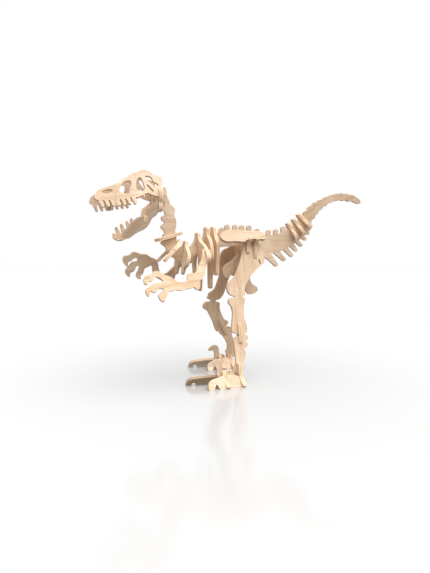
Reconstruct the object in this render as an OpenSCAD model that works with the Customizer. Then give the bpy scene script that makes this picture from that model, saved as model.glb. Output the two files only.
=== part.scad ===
// Slot-together plywood skeleton of a small two-legged dinosaur.
// It faces -X, its left side is -Y, and it stands on z = 0.
// Outlines are drawn in one drawing frame, x forward to back and height upwards,
// whose floor line is at height ground and whose middle is at centre_x.

/* [Plywood] */
// Thickness of the plywood sheet
ply = 3; // [2.8:0.1:3.2]
// Clearance on each side of a plate in its slot
fit = 0.05; // [0.02:0.01:0.1]

/* [Stance] */
// Half the distance between the middles of the feet
foot_y = 36; // [34:1:38]
// Lean of the leg plates, bottoms outwards
leg_tilt = 10; // [9:0.5:11]
// Lean of the toe plates of each foot, which stand like a tent
toe_tilt = 33; // [30:1:34]
// Half the width across the bottoms of one foot's toe plates, at the heel
toe_spread = 8; // [7.8:0.1:8.5]
// Turn of each toe plate away from straight ahead
toe_turn = 6; // [5:0.5:6]

/* [Head] */
// Distance of the top of each skull plate from the middle
skull_y = 9; // [8:0.5:9.5]
// Lean of the skull plates, bottoms outwards
skull_tilt = 13; // [12:0.5:14]
// Distance of each jaw plate from the middle at the hinge
jaw_y = 14; // [13.5:0.5:14.5]
// Lean of the jaw plates, bottoms inwards
jaw_tilt = 11.5; // [10:0.5:12]

/* [Arms] */
// Distance of each arm plate from the middle at the elbow
elbow_y = 30; // [29:1:31]
// Lean of the arm plates, elbows outwards
arm_tilt = 14.5; // [13:0.5:15]

/* [Hips] */
// Distance of the top edge of each ilium plate from the middle
ilium_y = 13; // [12.5:0.5:14]
// Lean of the ilium plates, bottoms outwards
ilium_tilt = 31; // [29:1:32]

/* [Hidden] */

$fn = 32;
left = -1;
right = 1;
ground = 4.5;
centre_x = 28;
gap = ply + 2 * fit;

// Drawing heights that the tilted plates hang from
skull_z = 205;
jaw_z = 170;
elbow_z = 100;
ilium_z = 150;

// Cross plates: [x, height, lean] of the point where the plate meets the spine
upper_fork = [-45, 141.5, 74];
lower_fork = [-42, 131, 45];
front_rib = [-32.5, 125, 12];
girdle = [-18, 134, 0];
middle_rib = [-9.5, 137, 2];
rear_rib = [-2, 138, 0];
tail_seam = [105, 161.5];
tail_rise = 45;
tail_forks = [[85.5, 148, -26], [93, 153, -33], [100, 159, -40]];

// Places along x of the bridges between left and right plates
skull_front_x = -99;
skull_rear_x = -59;
jaw_bridge_x = -72;
hip_xs = [28, 36];
foot_shift = [0, 27];      // left and right foot, along x
ankle_xs = [9, 31];        // where each leg meets its rear foot bridge
claw_xs = [-7, 19];        // front foot bridges
hock_laps = [[13.6, 49.5], [20.3, 48.2]];
hock_lean = [0, -31];

// Where half-lap slots end, in drawing heights
hip_spine_z = 138.5;
hip_leg_h = 129;
ilium_lap = -11.5;
foot_leg_h = 20;
toe_lap = 3.5;
claw_lap_z = 15.5;
hock_reach = 12;

function halfway(p) = [for (i = [0 : len(p) - 1]) let (a = p[i], b = p[(i + 1) % len(p)])
    each [0.75 * a + 0.25 * b, 0.25 * a + 0.75 * b]];
function smooth(p, rounds = 2) = rounds == 0 ? p : smooth(halfway(p), rounds - 1);
function reversed(p) = [for (i = [len(p) - 1 : -1 : 0]) p[i]];
function edge_crosses(p) = [for (i = [0 : len(p) - 1]) cross(p[i], p[(i + 1) % len(p)])];
function total(list) = list * [for (x = list) 1];
function anticlockwise(p) = total(edge_crosses(p)) > 0 ? p : reversed(p);
function mirrored(p) = concat(p, [for (i = [len(p) - 1 : -1 : 0]) [-p[i][0], p[i][1]]]);

// A smooth outline through a few hand-placed corners
module outline(points, rounds = 2) polygon(smooth(anticlockwise(points), rounds));

// A slot of length len from the point p, along the direction that leans from upright
module slot(p, lean = 0, len = 20)
    translate(p) rotate(-lean) translate([-gap / 2, min(len, -fit)])
        square([gap, abs(len) + fit]);

// A plate along the body, at y from the middle, leaning by tilt, hung from height
module side_plate(side, y, tilt = 0, height = 0)
    translate([-centre_x, side * y, height - ground])
        rotate([90 + side * tilt, 0, 0]) linear_extrude(ply, center = true) children();

// A plate across the body at the point p = [x, height, lean]
module cross_plate(p)
    translate([p[0] - centre_x, 0, p[1] - ground]) rotate([0, p[2], 0])
        rotate([90, 0, 90]) linear_extrude(ply, center = true) children();

// The slot in an upright cross plate for a side plate, from distance h along that plate
module lean_slot(side, y, tilt, height, h, len)
    slot([side * (y - h * sin(tilt)), height + h * cos(tilt)], -side * tilt, len);

// Keeps what is above the floor
module above_floor() intersection() {
    children();
    translate([-200, -100, 0]) cube([400, 200, 300]);
}

// ---- Spine and tail -------------------------------------------------------

// One rounded spike from a to b, wide at a and narrow at b
module spike(a, b, wide, narrow) {
    d = b - a;
    n = [-d[1], d[0]] / norm(d);
    polygon([a - n * wide / 2, b - n * narrow / 2, b + n * narrow / 2, a + n * wide / 2]);
    translate(b) circle(d = narrow);
}

module spine_outline() {
    outline([
        [-53, 187], [-49, 186], [-49, 178], [-46, 174], [-46, 171], [-42, 169], [-40.5, 165],
        [-42, 161], [-40, 158], [-39.5, 152], [-41, 147], [-40, 143], [-39.5, 137], [-37, 132],
        [-31, 131], [-24, 133], [-17, 140], [-8, 143], [2, 144.5], [20, 147], [42, 146.5],
        [54, 144], [66, 145], [76, 148], [84, 152.5], [91, 158], [96, 163], [104, 169],
        [114, 160], [110, 153], [104, 147], [97, 142], [88, 136], [77, 130], [64, 126],
        [52, 125], [46, 131], [36, 133], [20, 133], [6, 132], [-4, 129.5], [-14, 128], [-24, 122], [-34, 117],
        [-43, 121], [-48, 126], [-50, 131], [-54.5, 134], [-55, 136.5], [-50, 139], [-54, 142],
        [-50, 145], [-54.5, 148.5], [-55, 151], [-50, 154], [-54.5, 156.5], [-54, 160],
        [-50, 161], [-51.5, 165], [-56, 168], [-61, 170], [-62.5, 178], [-55, 180]]);
    // Neural spines over the hips, then leaning back along the tail
    for (x = [12.5, 21, 28.5, 36.5]) spike([x, 140], [x, 151.5], 6, 5.2);
    for (x = [6.5, 45.5]) spike([x, 138], [x, 148.5], 5.5, 4.8);
    spike([58, 138], [58.5, 147.5], 6, 5);
    spike([68, 138], [67, 148.5], 6, 5);
    spike([77, 140], [75.5, 151.5], 6, 5);
    // Chevrons under the tail
    spike([52, 130], [67.5, 114.5], 9, 4);
    spike([61, 134], [76.5, 120], 8, 4);
    spike([71, 138], [85.5, 124.5], 7, 4);
    spike([79, 141], [91, 130], 7, 3.6);
    spike([86, 144], [97, 135], 6, 3.4);
    spike([91, 149], [102, 141.5], 6, 3.4);
    spike([96, 152], [105.5, 147.5], 6, 3.4);
}

module spine() color("burlywood") side_plate(left, 0) difference() {
    spine_outline();
    for (p = [upper_fork, lower_fork, front_rib, girdle, middle_rib, rear_rib])
        slot([p[0], p[1]], p[2]);
    for (p = tail_forks) slot([p[0], p[1]], p[2]);
    for (x = hip_xs) slot([x, hip_spine_z], 0, -20);
    slot([skull_rear_x, 175]);
    tail_joint(fit);
}

// What belongs to the tail tip: all that is past the seam, and a tongue into the spine
module tail_joint(grow = 0) translate(tail_seam) rotate(tail_rise) {
    translate([fit - 2 * grow, -50]) square([120, 90]);
    translate([-8 - grow, -4.4 - grow]) square([9, 3.4 + 2 * grow]);
}

// The free end of the tail, scalloped along both edges
module tail_tip() color("burlywood") side_plate(left, 0) intersection() {
    outline([
        [94, 158], [99.5, 167.5], [100, 170], [104.5, 172], [105.5, 175.5], [110, 177],
        [111.5, 180], [116, 180.5], [118, 183.3], [122.5, 183.3], [125, 186.5], [129.5, 186.7],
        [132, 189], [136.5, 189.3], [139.5, 191], [143, 190.5], [146, 192], [150.5, 190.8],
        [154, 191.8], [158, 190.3], [162, 190.5], [167, 188.2], [171.5, 185.8], [173, 182.5],
        [171, 180.8], [165, 182.5], [160, 184], [157, 182.8], [153, 184.5], [149, 183.3],
        [145, 184.5], [141, 182.5], [137, 183], [134, 180.3], [130, 180.3], [128.5, 177],
        [124, 176.5], [122.5, 172.8], [118.8, 172.2], [118, 168.3], [114.5, 167.2],
        [113.5, 163.2], [110, 162], [108.5, 156], [102, 150]]);
    tail_joint();
}

// ---- Cross plates that push down over the spine ---------------------------

// half is the right half of the outline, from the top middle to the slot's mouth
module fork(p, half) color("tan") cross_plate(p) difference() {
    outline(mirrored(half));
    slot([0, 0], 0, -30);
}

module neck_fork_upper() fork(upper_fork, [
    [0, 11.5], [3, 11.5], [4, 9], [4, 2], [7, -3], [8, -10], [7, -14.5], [4, -14.5], [4, -9],
    [2, -6], [0, -6]]);

module neck_fork_lower() fork(lower_fork, [
    [0, 9.5], [3, 9.5], [4.5, 6], [7, 4], [12, 2], [13.5, -5], [13.5, -15], [12, -18.5],
    [9.5, -18], [9.5, -9], [6, -6], [0, -6]]);

module rib_front() fork(front_rib, [
    [0, 12.5], [4.4, 12.5], [4.8, 8], [9, 5], [17, 1], [20.5, -5], [19, -12], [13, -13],
    [12, -18], [10, -20.5], [7, -18], [6.5, -12], [4, -9.5], [0, -9]]);

// The right legs of the middle and rear ribs are the longer ones
module rib_middle() color("tan") cross_plate(middle_rib) difference() {
    outline([
        [-4.8, 14], [4.8, 14], [5, 9], [6, 5], [12, 2], [17.5, -6], [18, -16], [15.5, -30],
        [15, -47], [12.5, -49], [9.5, -47], [9.5, -30], [11, -18], [9, -11], [5, -8], [-5, -8],
        [-11, -10], [-13, -16], [-15, -20], [-19, -16], [-17.5, -6], [-12, 2], [-6, 5], [-5, 9]]);
    slot([0, 0], 0, -30);
}

module rib_rear() color("tan") cross_plate(rear_rib) difference() {
    outline([
        [-4.8, 13.5], [4.8, 13.5], [5, 9], [8, 3], [13, -3], [14.5, -12], [12, -22], [12, -44],
        [10, -47], [6, -47], [4, -44], [4, -34], [2, -31.5], [-2, -31.5], [-7, -34], [-11, -33],
        [-12, -22], [-14.5, -12], [-13, -3], [-8, 3], [-5, 9]]);
    slot([0, 0], 0, -40);
}

module tail_fork(p) fork(p, [
    [0, 11], [3.2, 11], [3.6, 7], [3.8, 3], [6, 0], [7.5, -4], [6.5, -9], [4, -9.5], [3.5, -5],
    [2, -4.5], [0, -4.5]]);
module tail_fork_1() tail_fork(tail_forks[0]);
module tail_fork_2() tail_fork(tail_forks[1]);
module tail_fork_3() tail_fork(tail_forks[2]);

// ---- Shoulders and arms ---------------------------------------------------

arm_lap = 22;

module shoulder_girdle() color("tan") cross_plate(girdle) difference() {
    outline([
        [-4.6, 11.5], [4.6, 11.5], [5, 7], [10, 2], [20, -1], [29, -9], [31, -14], [27, -19], [21, -17],
        [15, -15], [12.5, -20], [11, -29], [8, -29], [7, -20], [5, -10], [-5, -10], [-7, -20],
        [-8, -29], [-11, -29], [-12.5, -20], [-15, -15], [-21, -17], [-27, -19], [-31, -14],
        [-29, -9], [-20, -1], [-10, 2], [-5, 7]]);
    slot([0, 0], 0, -30);
    for (side = [left, right])
        lean_slot(side, elbow_y, arm_tilt, elbow_z - girdle[1], arm_lap, -20);
}

module arm_left() color("wheat") side_plate(left, elbow_y, arm_tilt, elbow_z) difference() {
    outline([
        [-22.5, 30.5], [-15, 30.5], [-13.5, 25], [-16, 18], [-20, 14], [-21, 9], [-22.5, 4.5],
        [-25, 1.5], [-27, 1], [-27.5, -7.5], [-32, -7.5], [-32.5, -5], [-36, -6.5], [-41, -7],
        [-46, -8.5], [-50, -7], [-53.5, -8.5], [-58, -9], [-58.5, -13], [-60.5, -14.5],
        [-61, -18.5], [-64.5, -17], [-66.5, -13], [-66, -10.5], [-62, -8.5], [-61, -6],
        [-66, -6], [-68, -9.5], [-71.5, -9], [-73.5, -7.5], [-74, -13.5], [-77, -11],
        [-77.5, -6], [-73, -3.5], [-70.5, -1.5], [-62, -0.5], [-61, 1], [-65.5, 4.5],
        [-69, 4.5], [-70.5, 0], [-74.5, 1], [-75.5, -3.5], [-78.5, -1], [-78, 4.5], [-74.5, 7],
        [-71, 6.5], [-69.5, 9.5], [-64, 9.5], [-60, 6], [-54, 4.5], [-50, 0.5], [-44, -1],
        [-39, 0], [-38.5, 6.5], [-35, 8], [-30.5, 7], [-27.5, 14], [-24, 19], [-22.5, 25]]);
    slot([girdle[0], arm_lap]);
}

module arm_right() color("wheat") side_plate(right, elbow_y, arm_tilt, elbow_z) difference() {
    outline([
        [-21, 30.5], [-15, 30.5], [-13.5, 25], [-17, 18], [-23, 14], [-29, 12], [-31.5, 5],
        [-33, -1.5], [-36, 1], [-42, -3], [-50, 1], [-55, 4.5], [-55.5, 10], [-57, 15.5],
        [-60.5, 13], [-64, 12], [-65, 5.5], [-68, 4.5], [-66, 0.5], [-70.5, 1], [-72.5, 4.5],
        [-69.5, 10], [-69, 14], [-72, 14.5], [-74, 8.5], [-78, 7.5], [-77.5, 2], [-82, 5],
        [-83, 9.5], [-79, 14], [-77, 18], [-71, 18.5], [-71, 22], [-75, 22], [-78, 18.5],
        [-80.5, 18.5], [-80, 12.5], [-84, 15.5], [-86, 21], [-84, 24.5], [-79.5, 24.5],
        [-76, 28.5], [-71.5, 27.5], [-68, 26], [-62, 26], [-58, 22.5], [-53, 21.5],
        [-50.5, 17], [-49, 9], [-45, 5], [-41, 6.5], [-35.5, 12], [-28, 20], [-22, 25]]);
    slot([girdle[0], arm_lap]);
}

// ---- Head -----------------------------------------------------------------

skull_front_lap = -30;
skull_rear_lap = -24;
jaw_rear_lap = -2;
jaw_front_lap = -16.5;

// One slanted tooth with its root at [x, h] and its tip further back
module tooth(x, h, len) spike([x, h + 3], [x + 0.55 * len, h - len], 4.4, 2.4);

module skull_outline() difference() {
    union() {
        outline([
            [-117, -31.5], [-114, -27], [-107, -24.3], [-102, -22.5], [-99, -20.5], [-95, -19.5],
            [-92, -15.7], [-88, -13.7], [-84, -9.8], [-80, -8.8], [-75, -6.3], [-69, -6.3],
            [-65, -10.5], [-59.5, -11], [-56.5, -13.5], [-56.5, -18], [-58.5, -21], [-56, -24],
            [-56, -30.5], [-62, -30.5], [-66.5, -29.5], [-71, -27], [-76, -30.5], [-81, -32.5],
            [-86, -32], [-91, -34.5], [-111, -36.5], [-117, -36.5]]);
        for (i = [0 : 6]) tooth(-114 + 4.9 * i, -35 + 0.4 * i, 6.5 - 0.35 * i);
    }
    // Nostril
    translate([-106, -28]) rotate(14) scale([4.6, 1.6]) circle(1);
    // Antorbital opening
    outline([[-96, -29], [-95.5, -23.5], [-92, -19.2], [-89, -17], [-84.5, -17.5],
        [-85.5, -24], [-87, -29.5]]);
    // Orbit
    outline([[-79, -14], [-76, -13], [-73.5, -20.5], [-73, -25], [-76.5, -27],
        [-80.5, -25], [-81, -19.5]]);
    // Temporal openings
    outline([[-73, -11.5], [-66, -12], [-65.5, -17], [-61, -18], [-60.5, -21],
        [-64.5, -22], [-71, -14.8]]);
    hull() {
        translate([-70.5, -20.5]) circle(d = 1.6);
        translate([-66, -25.5]) circle(d = 1.6);
    }
}

module skull(side) color("wheat") side_plate(side, skull_y, skull_tilt, skull_z)
    difference() {
        skull_outline();
        slot([skull_front_x, skull_front_lap], 0, -20);
        slot([skull_rear_x, skull_rear_lap], 0, -20);
    }
module skull_left() skull(left);
module skull_right() skull(right);

jaw_back = [[-80, -27], [-74, -24.5], [-69, -20.5], [-66, -13], [-62, -11], [-59.5, -5],
    [-55, -3], [-54.5, 1.5], [-57, 4], [-62, 3.5], [-66, -1]];

module jaw(side) color("tan") side_plate(side, jaw_y, -jaw_tilt, jaw_z) difference() {
    children();
    slot([skull_rear_x, jaw_rear_lap], 0, 20);
    slot([jaw_bridge_x, jaw_front_lap], 0, 20);
}

module jaw_left() jaw(left) outline(concat([[-91, -32], [-86, -32.5]], jaw_back, [
    [-70, -8], [-74, -12], [-79, -13], [-82, -16], [-86, -19], [-88, -23], [-92, -27]]));

module jaw_right() jaw(right) {
    outline(concat([[-98, -27.5], [-97, -32.5], [-91.5, -34.5], [-85, -32]], jaw_back, [
        [-69.5, -3], [-70, -9], [-74, -13], [-76, -18], [-84, -23], [-92, -28.5]]));
    spike([-95.6, -31], [-97, -28], 3.6, 2);
    spike([-91.6, -29], [-94.2, -22.2], 4, 2.2);
    spike([-87.2, -26], [-89.5, -19], 4, 2.2);
    spike([-82, -22.5], [-84.1, -16.3], 4, 2.2);
    spike([-78, -19], [-80, -13.4], 4, 2.2);
}

module skull_bridge_front() color("tan") cross_plate([skull_front_x, skull_z, 0])
    difference() {
        outline(mirrored([[0, -27], [9, -27], [15, -27.5], [17.4, -28.5], [18.6, -34.5],
            [19.6, -40], [16.5, -40], [15, -36], [0, -34]]), 1);
        for (side = [left, right])
            lean_slot(side, skull_y, skull_tilt, 0, skull_front_lap, 20);
    }

module skull_bridge_rear() color("tan") cross_plate([skull_rear_x, 0, 0]) difference() {
    outline(mirrored([[0, 186], [6, 186], [16, 184], [18, 181], [18.5, 174], [16, 171],
        [17.5, 168], [17, 163], [10, 162], [5, 166], [0, 171]]), 1);
    slot([0, 175], 0, -20);
    for (side = [left, right]) {
        lean_slot(side, skull_y, skull_tilt, skull_z, skull_rear_lap, 20);
        lean_slot(side, jaw_y, -jaw_tilt, jaw_z, jaw_rear_lap, -20);
    }
}

module jaw_bridge() color("tan") cross_plate([jaw_bridge_x, 0, 0]) difference() {
    outline(mirrored([[0, 156.5], [7, 158], [13.2, 159.6], [12.3, 151.4], [8.5, 150],
        [0, 151.5]]), 1);
    for (side = [left, right])
        lean_slot(side, jaw_y, -jaw_tilt, jaw_z, jaw_front_lap, -20);
}

// ---- Hips -----------------------------------------------------------------

module ilium(side) color("wheat") side_plate(side, ilium_y, ilium_tilt, ilium_z)
    difference() {
        outline([
            [-3, -11], [0, -6], [5, -3], [20, -2.5], [24, -4], [40, -3.5], [44, -5.5],
            [45.5, -9], [45.5, -13.5], [34, -12.8], [25, -13.3], [21, -17], [12, -15.7],
            [4, -17], [-1, -15]]);
        for (x = hip_xs) slot([x, ilium_lap], 0, -20);
    }
module ilium_left() ilium(left);
module ilium_right() ilium(right);

// The legs hang from its ends, which reach down to foot
module hip_bridge(x, foot) color("tan") cross_plate([x, 0, 0]) difference() {
    outline(mirrored([[0, 142], [8, 142.5], [15, 143.5], [20, 142], [21.6, 139.6], [20.8, 137.8],
        [17.2, 134], [17, 129], [17.6, foot + 1], [12.5, foot], [9, 124], [0, 124]]), 1);
    slot([0, hip_spine_z], 0, 20);
    slot([0, 128], 0, -20);
    for (side = [left, right]) {
        lean_slot(side, foot_y, leg_tilt, 0, hip_leg_h, -20);
        lean_slot(side, ilium_y, ilium_tilt, ilium_z, ilium_lap, 20);
    }
}
module hip_bridge_front() hip_bridge(hip_xs[0], 125);
module hip_bridge_rear() hip_bridge(hip_xs[1], 119);

// Runs forwards and down from the hips, and down and back to a boot
module pubis() color("tan") side_plate(left, 0) difference() {
    outline([
        [25, 126.5], [46, 126.5], [47, 121], [42, 117], [38, 110], [37, 102], [39, 96],
        [46, 92], [46.5, 88], [41, 85], [35, 84.5], [32, 91], [31, 100], [31, 108], [27, 109],
        [22, 105], [19, 103], [17, 105.5], [14, 101], [10, 102], [7, 108], [9, 114], [18, 118]]);
    for (x = hip_xs) slot([x, 128 - 5], 0, 20);
}

// ---- Legs and feet --------------------------------------------------------

module leg_left() color("wheat") side_plate(left, foot_y, leg_tilt) difference() {
    outline([
        [23, 138], [30, 140], [40, 139], [46, 132], [46.5, 124], [45.5, 118], [39, 114],
        [32, 108], [27.5, 102], [23.5, 97], [21.7, 91], [22.7, 87.5], [18.5, 85.5], [22.3, 84],
        [20.7, 79], [19.2, 72], [19.7, 64], [22.2, 56], [21.2, 51.5], [18.5, 50], [22.2, 48],
        [21.7, 44.5], [18.5, 43], [21.7, 41], [20.2, 37.5], [17, 37], [19, 32], [16, 25],
        [15.5, 20], [16, 15.2], [4, 15.2], [5, 19], [8, 23], [7.8, 28], [7.2, 40], [5.7, 47.5],
        [18, 49.5], [5.7, 51.5], [5.7, 55], [6.7, 62], [8.2, 70], [7.2, 77], [3.7, 80],
        [5.2, 84.5], [13, 85.5], [5.7, 87.5], [3.2, 94], [4.5, 99], [12, 104], [16.5, 113],
        [20, 122], [23, 130]]);
    for (x = hip_xs) slot([x, hip_leg_h]);
    slot([ankle_xs[0], foot_leg_h], 0, -20);
    slot(hock_laps[0], hock_lean[0], hock_reach);
    // Hollow of the hip joint
    hull() {
        translate([40.4, 117.5]) circle(d = 2);
        translate([40, 121]) circle(d = 1.2);
    }
}

module leg_right() color("wheat") side_plate(right, foot_y, leg_tilt) difference() {
    outline([
        [23, 138], [30, 140], [40, 139], [48, 133], [48, 126], [38, 120], [29, 112], [22, 103], [19.5, 92],
        [17.5, 84.5], [13, 80], [9, 79.5], [9.5, 77.5], [14.5, 77], [14, 71], [17, 64],
        [21, 57.5], [25, 57], [25.5, 52.5], [16.5, 46.5], [26.5, 51], [29.5, 49], [30, 42],
        [33, 35], [35, 28], [34.5, 21], [36, 15.2], [26, 15.2], [26.5, 19], [24.5, 22], [27, 25],
        [26.5, 30], [24, 35], [20, 40], [16, 43], [18, 46.5], [13, 44.5], [10.5, 49], [8.5, 55],
        [4, 63], [0.5, 69], [-4, 70.5], [-4, 75], [-1, 78], [4.5, 77.5], [4, 79.5], [-1, 81.5],
        [1.5, 84], [0.5, 86.5], [8, 91], [10, 99], [12.2, 106], [11.5, 115], [11, 126], [14, 132],
        [20, 134]]);
    for (x = hip_xs) slot([x, hip_leg_h]);
    slot([ankle_xs[1], foot_leg_h], 0, -20);
    slot(hock_laps[1], hock_lean[1], hock_reach);
}

// A hock plate stands across its leg: its top goes up into the leg's slot from a deep
// notch, and its own slot, open at the bottom, takes the leg below the notch
module hock(side, at, lean, below)
    color("tan") translate([-centre_x, side * foot_y, -ground]) rotate([side * leg_tilt, 0, 0])
        translate([at[0], 0, at[1]]) rotate([0, lean, 0]) rotate([90, 0, 90])
            linear_extrude(ply, center = true) difference() {
                outline(mirrored([[0, hock_reach - 0.2], [2.4, hock_reach - 0.2],
                    [3.3, hock_reach - 3], [3.3, 2 - below], [2.4, -below], [0, -below]]));
                slot([0, 0], 0, -40);
            }
module hock_left() hock(left, hock_laps[0], hock_lean[0], 8);
module hock_right() hock(right, hock_laps[1], hock_lean[1], 8);

// Toe plates are drawn from the heel forwards: a short one and a long one
short_toe = [
    [-42, 1], [-40.5, -2], [-36.5, -2], [-34, 4], [-32, 4], [-30.5, -2], [-25, -2], [-22, 1],
    [-18, -2], [-4, -2], [-2.5, 2], [-3.5, 9], [-9, 9], [-13, 12], [-24, 12],
    [-29, 10.5], [-35, 9.6], [-40, 7.5]];
long_toe = [
    [-54.5, 0], [-53, -2], [-50, -2], [-49, 3.5], [-46.5, 4], [-43, -2], [-37, -2], [-32, 2],
    [-27, -2], [-5, -2], [-3.5, 3], [-4.5, 9], [-12, 9.5], [-20, 10.3], [-26, 9.5],
    [-35, 10.3], [-43, 9.5], [-50, 9], [-53.5, 6]];
heel_x = 15;
lap_out = toe_spread - toe_lap * sin(toe_tilt);

// A slot for a foot bridge; it is wider and leans because the plate is turned and tilted
module toe_slot(x) translate([(x - heel_x - lap_out * sin(toe_turn)) / cos(toe_turn), toe_lap])
    rotate(-atan(sin(toe_tilt) * tan(toe_turn))) scale([1 + tan(toe_turn), 1]) slot([0, 0]);

// foot is 0 for the left one and 1 for the right one; side is the toe's place in the foot
module toe(foot, side) color("wheat") above_floor()
    translate([foot_shift[foot] + heel_x - centre_x, [-1, 1][foot] * foot_y, ground])
        rotate([0, 0, -side * toe_turn]) side_plate(side, toe_spread, toe_tilt)
            translate([centre_x, 0]) difference() {
                outline(side == left ? short_toe : long_toe);
                for (x = [claw_xs[foot], ankle_xs[foot]]) toe_slot(x - foot_shift[foot]);
            }
module toe_left_outer() toe(0, left);
module toe_left_inner() toe(0, right);
module toe_right_inner() toe(1, left);
module toe_right_outer() toe(1, right);

// The sickle claw stands up in the middle of the foot
module claw(foot) color("tan") side_plate([-1, 1][foot], foot_y) difference() {
    rear = ankle_xs[foot] - foot_shift[foot] - 5.8;
    translate([foot_shift[foot], 0]) outline([
        [-20.5, 24.5], [-16.5, 28], [-12.5, 29.2], [-9.3, 27.5], [-8.5, 23], [-8, 19],
        [-3, 18], [rear, 18], [rear, 12.5], [-11, 12.5], [-14, 15.5], [-12.8, 18],
        [-13.5, 21.5], [-15.5, 23.5], [-20, 23]]);
    slot([claw_xs[foot], claw_lap_z], 0, -20);
}
module claw_left() claw(0);
module claw_right() claw(1);

// A foot bridge carries both toe plates, and a leg or a claw in the slot on top
module foot_bridge(foot, x, top) color("tan") translate([0, [-1, 1][foot] * foot_y, 0])
    cross_plate([x, 0, 0]) difference() {
        outline(mirrored([[0, top], [4, top], [5.5, 12.5], [9.5, 9.5], [14.5, 6.5],
            [14, 5.2], [7, 5.2], [4, 8], [0, 8]]), 1);
        for (side = [left, right]) {
            ahead = (heel_x + foot_shift[foot] - x) * tan(toe_turn);
            translate([side * (lap_out / cos(toe_turn) + ahead),
                ground + toe_lap * cos(toe_tilt)]) rotate(side * toe_tilt)
                scale([1 + tan(toe_turn), 1]) slot([0, 0], 0, -20);
        }
        children();
    }

module claw_bridge(foot) foot_bridge(foot, claw_xs[foot], 18) slot([0, claw_lap_z]);
module ankle_bridge(foot) foot_bridge(foot, ankle_xs[foot], 24)
    lean_slot([-1, 1][foot], 0, leg_tilt, 0, foot_leg_h, 20);

module foot_bridge_left_front() claw_bridge(0);
module foot_bridge_right_front() claw_bridge(1);
module foot_bridge_left_rear() ankle_bridge(0);
module foot_bridge_right_rear() ankle_bridge(1);

spine();
tail_tip();
skull_left();
skull_right();
jaw_left();
jaw_right();
skull_bridge_front();
skull_bridge_rear();
jaw_bridge();
neck_fork_upper();
neck_fork_lower();
rib_front();
rib_middle();
rib_rear();
shoulder_girdle();
arm_left();
arm_right();
ilium_left();
ilium_right();
hip_bridge_front();
hip_bridge_rear();
pubis();
leg_left();
leg_right();
hock_left();
hock_right();
toe_left_outer();
toe_left_inner();
toe_right_outer();
toe_right_inner();
claw_left();
claw_right();
foot_bridge_left_front();
foot_bridge_left_rear();
foot_bridge_right_front();
foot_bridge_right_rear();
tail_fork_1();
tail_fork_2();
tail_fork_3();
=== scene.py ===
"""Plywood finish, camera, light and floor for the slot-together dinosaur skeleton."""
import math

import bpy
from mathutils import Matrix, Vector


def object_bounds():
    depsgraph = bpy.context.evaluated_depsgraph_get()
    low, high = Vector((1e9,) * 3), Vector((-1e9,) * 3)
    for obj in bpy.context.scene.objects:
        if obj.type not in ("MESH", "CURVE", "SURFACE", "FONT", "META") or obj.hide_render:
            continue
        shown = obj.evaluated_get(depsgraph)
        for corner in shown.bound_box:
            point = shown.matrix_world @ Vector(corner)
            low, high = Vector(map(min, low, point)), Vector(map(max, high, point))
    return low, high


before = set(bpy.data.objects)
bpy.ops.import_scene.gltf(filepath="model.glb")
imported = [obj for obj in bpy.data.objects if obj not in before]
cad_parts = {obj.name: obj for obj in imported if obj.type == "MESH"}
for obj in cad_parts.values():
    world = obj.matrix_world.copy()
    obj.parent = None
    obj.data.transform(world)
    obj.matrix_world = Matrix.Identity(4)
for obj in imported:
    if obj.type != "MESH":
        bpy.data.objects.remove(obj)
cad_box = [list(corner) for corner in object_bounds()]

MM = 0.001
CORE = 1.3 * MM                 # thickness of the middle veneer
GLUE = 0.12 * MM                # darker line between two veneers
ARRIS = 0.15 * MM               # rounding of the plates' edges, and the shortest side kept
SAME_POINT = 0.002 * MM         # points of a plate's mesh closer than this are joined
TOO_SHORT = 0.3                 # a unit vector's share left in the plate that can't guide the grain
RELIEF = 0.12 * MM              # height of the fibres and pores

# Wood colours, scene-linear
PALE = (0.820, 0.640, 0.465)
TAN = (0.700, 0.500, 0.335)
RING = (0.560, 0.370, 0.225)
BLUSH = (0.800, 0.560, 0.410)
PORE = (0.300, 0.180, 0.100)
CORE_WOOD = (0.600, 0.420, 0.265)
GLUE_BROWN = (0.330, 0.200, 0.115)
RIM_WOOD = (0.780, 0.600, 0.430)

# How fine each part of the wood's figure is, in cells per metre
BEND_SCALE = 28.0               # slow bends of the growth bands
CLOUD_SCALE = 45.0              # patches of the two main colours
BLUSH_SCALE = 120.0             # pink streaks
RING_SCALE = 260.0              # growth bands
PORE_SCALE = 2100.0
FIBRE_SCALE = 2600.0
SPECKLE_SCALE = 3200.0          # end grain in the core's cut edge
LAYER_SCALE = 3400.0            # thin layers in the outer veneers' cut edges

# Scale along the grain as a share of the scale across it: less draws the figure out longer
RING_DRAW = 0.10
FIBRE_DRAW = 0.03
PORE_DRAW = 0.09
LAYER_DRAW = 0.08
BEND = 6 * MM                   # how far the growth bands wander

FIGURE_SHIFT = 3.0              # how far apart the pieces' figures are cut, at most
GOLDEN = 0.61803                # spreads the pieces' numbers evenly over 0 to 1

# How much hue, saturation and value differ from piece to piece
HUE_SPREAD, SATURATION_SPREAD, VALUE_SPREAD = 0.006, 0.10, 0.08
LEAST_SATURATION, LEAST_VALUE = 0.96, 0.96

# Grain of a plate, in degrees from straight up towards the tail; 90 runs along the body
GRAIN = {
    "spine": 90, "tail_tip": 70, "skull_left": 80, "skull_right": 84, "jaw_left": 50,
    "jaw_right": 46, "ilium_left": 88, "ilium_right": 92, "arm_left": 84, "arm_right": 78,
    "toe_left_outer": 88, "toe_left_inner": 92, "toe_right_outer": 90, "toe_right_inner": 86,
}

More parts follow.
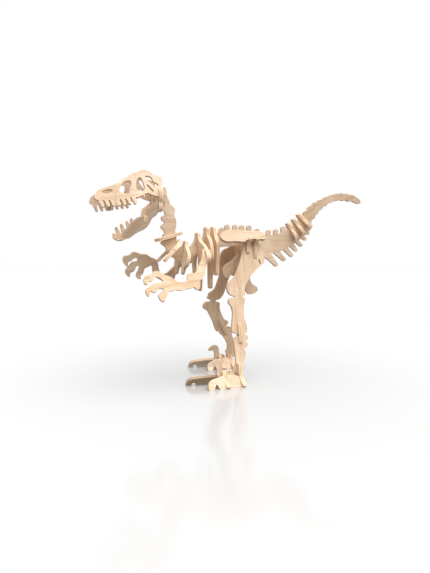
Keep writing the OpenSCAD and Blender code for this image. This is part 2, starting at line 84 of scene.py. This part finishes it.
# Painted shade and painted light: pieces darkened where they lie in shadow or face away from the
# light, and paled where lit or to lift their shadows; partly each piece's own tone
PAINTED_LIGHT_AND_SHADE = {
    "ilium_left": 0.75, "ilium_right": 0.84, "jaw_left": 0.70, "jaw_right": 1.06, "spine": 0.86,
    "tail_tip": 0.81, "pubis": 0.90, "leg_left": 0.95, "leg_right": 0.89, "hock_right": 0.90,
    "claw_left": 0.88, "claw_right": 0.76, "toe_left_outer": 0.89, "toe_left_inner": 0.60,
    "toe_right_outer": 0.84, "rib_rear": 1.10,
}

# Studio: lengths in metres, strengths in Blender's units
SUN_FROM = (0.16, -0.32, 0.93)
SUN_DEGREES = 80                # how broad the sun is
SUN_STRENGTH = 4.5
DIM_SKY, BRIGHT_SKY = 0.36, 0.90
DIM_HEIGHT, BRIGHT_HEIGHT = -0.6, 0.9       # heights on the unit sphere of directions
FLOOR_REACH = 40                # half the floor's side, in lengths of the model's diagonal
FLOOR_PAINTED_SHADOW, FLOOR_OUTSIDE = 0.402, 0.466  # albedo of the painted shadow under the model, and of the plain floor away from it
PAINTED_SHADOW_REACH = 0.26               # how far out the painted shadow under the model reaches
FLOOR_ROUGHNESS = 0.13
CAMERA_AZIMUTH, CAMERA_PITCH = -22, 3       # degrees
CAMERA_AIM = (-28 * MM, 0, 0)
CAMERA_DISTANCE, CAMERA_HEIGHT = 470 * MM, 113.5 * MM
CAMERA_LENS, CAMERA_SENSOR = 30.157, 36     # millimetres


# ---- Plates ---------------------------------------------------------------

def plate_normal(mesh):
    """The direction that most of the plate's surface faces."""
    sums = {}
    for face in mesh.polygons:
        key = tuple(round(abs(c), 1) for c in face.normal)
        total, direction = sums.get(key, (0.0, face.normal.copy()))
        sums[key] = (total + face.area, direction)
    return max(sums.values(), key=lambda item: item[0])[1].normalized()


def plate_axes(name, mesh):
    """Along the grain, across it and through the plate, and how far along the last it lies."""
    through = plate_normal(mesh)
    upright = Vector((0, 0, 1)) - through * through.z
    along = Vector((1, 0, 0)) - through * through.x
    if upright.length < TOO_SHORT:
        upright = Vector((0, 1, 0)) - through * through.y
    if along.length < TOO_SHORT:
        along = Vector((0, 1, 0)) - through * through.y
    turn = math.radians(GRAIN.get(name, 0))
    grain = upright.normalized() * math.cos(turn) + along.normalized() * math.sin(turn)
    grain = (grain - through * grain.dot(through)).normalized()
    depths = [v.co.dot(through) for v in mesh.vertices]
    return grain, through.cross(grain), through, (min(depths) + max(depths)) / 2


def spread(name, salt):
    """A fixed number from 0 to 1 that differs from piece to piece."""
    total = sum((i + 3) * (ord(c) + salt) for i, c in enumerate(name))
    return (total * GOLDEN) % 1.0


def soften(obj):
    """Sanded edges: the plate's arrises are rounded a little and its shading is smooth."""
    for face in obj.data.polygons:
        face.use_smooth = True
    weld = obj.modifiers.new("Weld", "WELD")
    weld.merge_threshold = SAME_POINT
    flat = obj.modifiers.new("Flat", "DECIMATE")
    flat.decimate_type = "DISSOLVE"
    flat.angle_limit = math.radians(0.5)
    corners = obj.modifiers.new("Corners", "WELD")
    corners.merge_threshold = ARRIS
    bevel = obj.modifiers.new("Sanded", "BEVEL")
    bevel.width = ARRIS
    bevel.segments = 2
    bevel.limit_method = "ANGLE"
    bevel.angle_limit = math.radians(50)
    bevel.use_clamp_overlap = False
    even = obj.modifiers.new("Even", "WEIGHTED_NORMAL")
    even.weight = 90
    even.keep_sharp = False


# ---- Plywood --------------------------------------------------------------

class Nodes:
    """A short way to write a material's nodes."""

    def __init__(self, name):
        self.material = bpy.data.materials.new(name)
        self.material.use_nodes = True
        self.tree = self.material.node_tree
        self.shader = self.tree.nodes["Principled BSDF"]

    def link(self, value, socket):
        if isinstance(value, bpy.types.NodeSocket):
            self.tree.links.new(value, socket)
        else:
            socket.default_value = value

    def math(self, operation, *values):
        node = self.tree.nodes.new("ShaderNodeMath")
        node.operation = operation
        for value, socket in zip(values, node.inputs):
            self.link(value, socket)
        return node.outputs[0]

    def dot(self, vector, direction):
        node = self.tree.nodes.new("ShaderNodeVectorMath")
        node.operation = "DOT_PRODUCT"
        self.link(vector, node.inputs[0])
        node.inputs[1].default_value = direction
        return node.outputs["Value"]

    def vector(self, x, y, z):
        node = self.tree.nodes.new("ShaderNodeCombineXYZ")
        for value, socket in zip((x, y, z), node.inputs):
            self.link(value, socket)
        return node.outputs[0]

    def noise(self, vector, scale, detail=2.0, distortion=0.0):
        node = self.tree.nodes.new("ShaderNodeTexNoise")
        self.link(vector, node.inputs["Vector"])
        node.inputs["Scale"].default_value = scale
        node.inputs["Detail"].default_value = detail
        node.inputs["Distortion"].default_value = distortion
        return node.outputs["Fac"]

    def band(self, value, low, high, out_low=0.0, out_high=1.0):
        node = self.tree.nodes.new("ShaderNodeMapRange")
        node.interpolation_type = "SMOOTHSTEP"
        for item, socket in zip((value, low, high, out_low, out_high), node.inputs):
            self.link(item, socket)
        return node.outputs[0]

    def mix(self, factor, first, second):
        node = self.tree.nodes.new("ShaderNodeMix")
        node.data_type = "RGBA"
        self.link(factor, node.inputs[0])
        for colour, socket in zip((first, second), node.inputs[6:8]):
            self.link((*colour, 1.0) if isinstance(colour, tuple) else colour, socket)
        return node.outputs[2]


def veneer(nodes, grain, across, depth, shift):
    """Colour and height of a sanded face: growth bands, fibres and pores along the grain."""
    slow = nodes.math("ADD", nodes.math("MULTIPLY", grain, RING_DRAW), shift)
    bends = nodes.noise(nodes.vector(slow, across, depth), BEND_SCALE, 3.0)
    wavy = nodes.math("ADD", across, nodes.math("MULTIPLY", bends, BEND))
    rings = nodes.noise(nodes.vector(slow, wavy, shift), RING_SCALE, 3.0, 0.4)
    fibres = nodes.noise(nodes.vector(nodes.math("MULTIPLY", grain, FIBRE_DRAW), across, shift),
                         FIBRE_SCALE, 2.0)
    dashes = nodes.noise(nodes.vector(nodes.math("MULTIPLY", grain, PORE_DRAW), across, shift),
                         PORE_SCALE, 1.0)
    pores = nodes.band(dashes, 0.66, 0.74)
    cloud = nodes.noise(nodes.vector(grain, across, shift), CLOUD_SCALE, 3.0)
    blush = nodes.noise(nodes.vector(slow, across, nodes.math("ADD", depth, shift)),
                        BLUSH_SCALE, 2.0)
    colour = nodes.mix(nodes.band(cloud, 0.3, 0.7), PALE, TAN)
    colour = nodes.mix(nodes.band(blush, 0.45, 0.70, 0.0, 0.55), colour, BLUSH)
    colour = nodes.mix(nodes.band(rings, 0.48, 0.66, 0.0, 0.55), colour, RING)
    colour = nodes.mix(nodes.band(fibres, 0.42, 0.70, 0.0, 0.38), colour, RING)
    colour = nodes.mix(nodes.math("MULTIPLY", pores, 0.45), colour, PORE)
    height = nodes.math("SUBTRACT", nodes.math("MULTIPLY", fibres, 0.6), pores)
    return colour, height


def cut_edge(nodes, grain, across, depth, shift):
    """Colour and height of a cut edge: a darker core of end grain between two pale veneers."""
    from_middle = nodes.math("ABSOLUTE", depth)
    moved = nodes.math("ADD", depth, shift)
    speckle = nodes.noise(nodes.vector(grain, across, moved), SPECKLE_SCALE, 3.0)
    layers = nodes.noise(nodes.vector(nodes.math("MULTIPLY", grain, LAYER_DRAW),
                                      nodes.math("MULTIPLY", across, LAYER_DRAW), moved),
                         LAYER_SCALE, 2.0)
    core = nodes.mix(nodes.band(speckle, 0.4, 0.65), CORE_WOOD, RING)
    rim = nodes.mix(nodes.band(layers, 0.42, 0.66, 0.0, 0.6), RIM_WOOD, TAN)
    colour = nodes.mix(nodes.band(from_middle, CORE / 2 - GLUE, CORE / 2), core, rim)
    glue = nodes.math("ABSOLUTE", nodes.math("SUBTRACT", from_middle, CORE / 2))
    colour = nodes.mix(nodes.band(glue, 0.0, GLUE, 0.7, 0.0), colour, GLUE_BROWN)
    height = nodes.math("ADD", nodes.math("MULTIPLY", speckle, 0.8),
                        nodes.math("MULTIPLY", layers, 0.5))
    return colour, height


def plywood(name, mesh):
    """Sanded plywood for one plate, with its own grain, tone and figure, and its painted light and
    shadow.
    """
    nodes = Nodes("plywood_" + name)
    along, sideways, through, middle = plate_axes(name, mesh)
    place = nodes.tree.nodes.new("ShaderNodeTexCoord")
    point, normal = place.outputs["Object"], place.outputs["Normal"]
    grain, across = nodes.dot(point, along), nodes.dot(point, sideways)
    depth = nodes.math("SUBTRACT", nodes.dot(point, through), middle)
    shift = spread(name, 7) * FIGURE_SHIFT
    face, face_height = veneer(nodes, grain, across, depth, shift)
    edge, edge_height = cut_edge(nodes, grain, across, depth, shift)
    facing = nodes.math("ABSOLUTE", nodes.dot(normal, through))
    on_face = nodes.band(facing, 0.55, 0.85)
    colour = nodes.mix(on_face, edge, face)
    tone_and_painted_light = nodes.tree.nodes.new("ShaderNodeHueSaturation")
    value = LEAST_VALUE + VALUE_SPREAD * spread(name, 5)
    tone_and_painted_light.inputs["Hue"].default_value = 0.5 + HUE_SPREAD * (spread(name, 1) - 0.5)
    tone_and_painted_light.inputs["Saturation"].default_value = LEAST_SATURATION + SATURATION_SPREAD * spread(name, 2)
    # Value: the piece's random tone times its painted shade and painted light
    tone_and_painted_light.inputs["Value"].default_value = PAINTED_LIGHT_AND_SHADE.get(name, 1.0) * value
    nodes.link(colour, tone_and_painted_light.inputs["Color"])
    nodes.link(tone_and_painted_light.outputs[0], nodes.shader.inputs["Base Color"])
    height = nodes.tree.nodes.new("ShaderNodeMix")
    for item, socket in zip((on_face, edge_height, face_height), (0, 2, 3)):
        nodes.link(item, height.inputs[socket])
    bump = nodes.tree.nodes.new("ShaderNodeBump")
    bump.inputs["Strength"].default_value = 0.45
    bump.inputs["Distance"].default_value = RELIEF
    nodes.link(height.outputs[0], bump.inputs["Height"])
    nodes.link(bump.outputs[0], nodes.shader.inputs["Normal"])
    rough = nodes.band(height.outputs[0], 0.0, 0.8, 0.74, 0.58)
    nodes.link(rough, nodes.shader.inputs["Roughness"])
    nodes.shader.inputs["Specular IOR Level"].default_value = 0.35
    return nodes.material


def finish_plates():
    """Gives every plate its own plywood and its rounded edges."""
    for name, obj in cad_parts.items():
        obj.data.materials.clear()
        obj.data.materials.append(plywood(name, obj.data))
        soften(obj)


# ---- Studio ---------------------------------------------------------------

def make_floor():
    """A glossy white floor with a painted shadow: its albedo is darker under the model."""
    low, high = (Vector(corner) for corner in cad_box)
    half = FLOOR_REACH * (high - low).length
    mesh = bpy.data.meshes.new("floor")
    corners = [(-half, -half, 0), (half, -half, 0), (half, half, 0), (-half, half, 0)]
    mesh.from_pydata(corners, [], [(0, 1, 2, 3)])
    floor = bpy.data.objects.new("floor", mesh)
    nodes = Nodes("floor_with_painted_shadow")
    place = nodes.tree.nodes.new("ShaderNodeTexCoord")
    reach = nodes.tree.nodes.new("ShaderNodeVectorMath")
    reach.operation = "LENGTH"
    nodes.link(place.outputs["Object"], reach.inputs[0])
    # Painted shadow: the floor's albedo darkens towards the point under the model
    painted_shadow_albedo = nodes.band(reach.outputs["Value"], 0.0, PAINTED_SHADOW_REACH, FLOOR_PAINTED_SHADOW, FLOOR_OUTSIDE)
    nodes.link(nodes.vector(painted_shadow_albedo, painted_shadow_albedo, painted_shadow_albedo), nodes.shader.inputs["Base Color"])
    nodes.shader.inputs["Roughness"].default_value = FLOOR_ROUGHNESS
    nodes.shader.inputs["Specular IOR Level"].default_value = 0.5
    mesh.materials.append(nodes.material)
    floor.visible_diffuse = False
    bpy.context.scene.collection.objects.link(floor)


def make_light():
    """A broad, even light from overhead, a little behind and to the left of the model."""
    light = bpy.data.lights.new("overhead", "SUN")
    light.energy, light.angle = SUN_STRENGTH, math.radians(SUN_DEGREES)
    lamp = bpy.data.objects.new("overhead", light)
    lamp.location = Vector(SUN_FROM).normalized()
    lamp.rotation_mode = "QUATERNION"
    lamp.rotation_quaternion = (-lamp.location).to_track_quat("-Z", "Y")
    bpy.context.scene.collection.objects.link(lamp)


def make_world():
    """White where it is seen or mirrored; as light, bright overhead and dim below."""
    world = bpy.data.worlds.new("studio")
    bpy.context.scene.world = world
    world.use_nodes = True
    tree = world.node_tree
    tree.nodes["Background"].inputs["Color"].default_value = (1.0, 1.0, 1.0, 1.0)
    place = tree.nodes.new("ShaderNodeTexCoord")
    split = tree.nodes.new("ShaderNodeSeparateXYZ")
    rise = tree.nodes.new("ShaderNodeMapRange")
    rise.interpolation_type = "SMOOTHSTEP"
    ends = {"From Min": DIM_HEIGHT, "From Max": BRIGHT_HEIGHT, "To Min": DIM_SKY, "To Max": BRIGHT_SKY}
    for end, value in ends.items():
        rise.inputs[end].default_value = value
    seen = tree.nodes.new("ShaderNodeLightPath")
    mirrored = tree.nodes.new("ShaderNodeMath")
    mirrored.operation = "MAXIMUM"
    pick = tree.nodes.new("ShaderNodeMix")
    pick.inputs[3].default_value = 1.0
    tree.links.new(place.outputs["Generated"], split.inputs[0])
    tree.links.new(split.outputs["Z"], rise.inputs["Value"])
    tree.links.new(seen.outputs["Is Camera Ray"], mirrored.inputs[0])
    tree.links.new(seen.outputs["Is Glossy Ray"], mirrored.inputs[1])
    tree.links.new(mirrored.outputs[0], pick.inputs[0])
    tree.links.new(rise.outputs[0], pick.inputs[2])
    tree.links.new(pick.outputs[0], tree.nodes["Background"].inputs["Strength"])


def make_camera():
    """At the model's left, somewhat towards its front and a little above its middle."""
    azimuth = math.radians(CAMERA_AZIMUTH)
    data = bpy.data.cameras.new("camera")
    data.lens, data.sensor_width = CAMERA_LENS, CAMERA_SENSOR
    data.clip_start, data.clip_end = 0.01, 100
    camera = bpy.data.objects.new("camera", data)
    camera.location = Vector(CAMERA_AIM) + Vector((
        math.sin(azimuth) * CAMERA_DISTANCE, -math.cos(azimuth) * CAMERA_DISTANCE, CAMERA_HEIGHT))
    camera.rotation_euler = (math.pi / 2 - math.radians(CAMERA_PITCH), 0, azimuth)
    bpy.context.scene.collection.objects.link(camera)
    bpy.context.scene.camera = camera


finish_plates()
make_floor()
make_world()
make_light()
make_camera()
bpy.context.scene.view_settings.view_transform = "Standard"
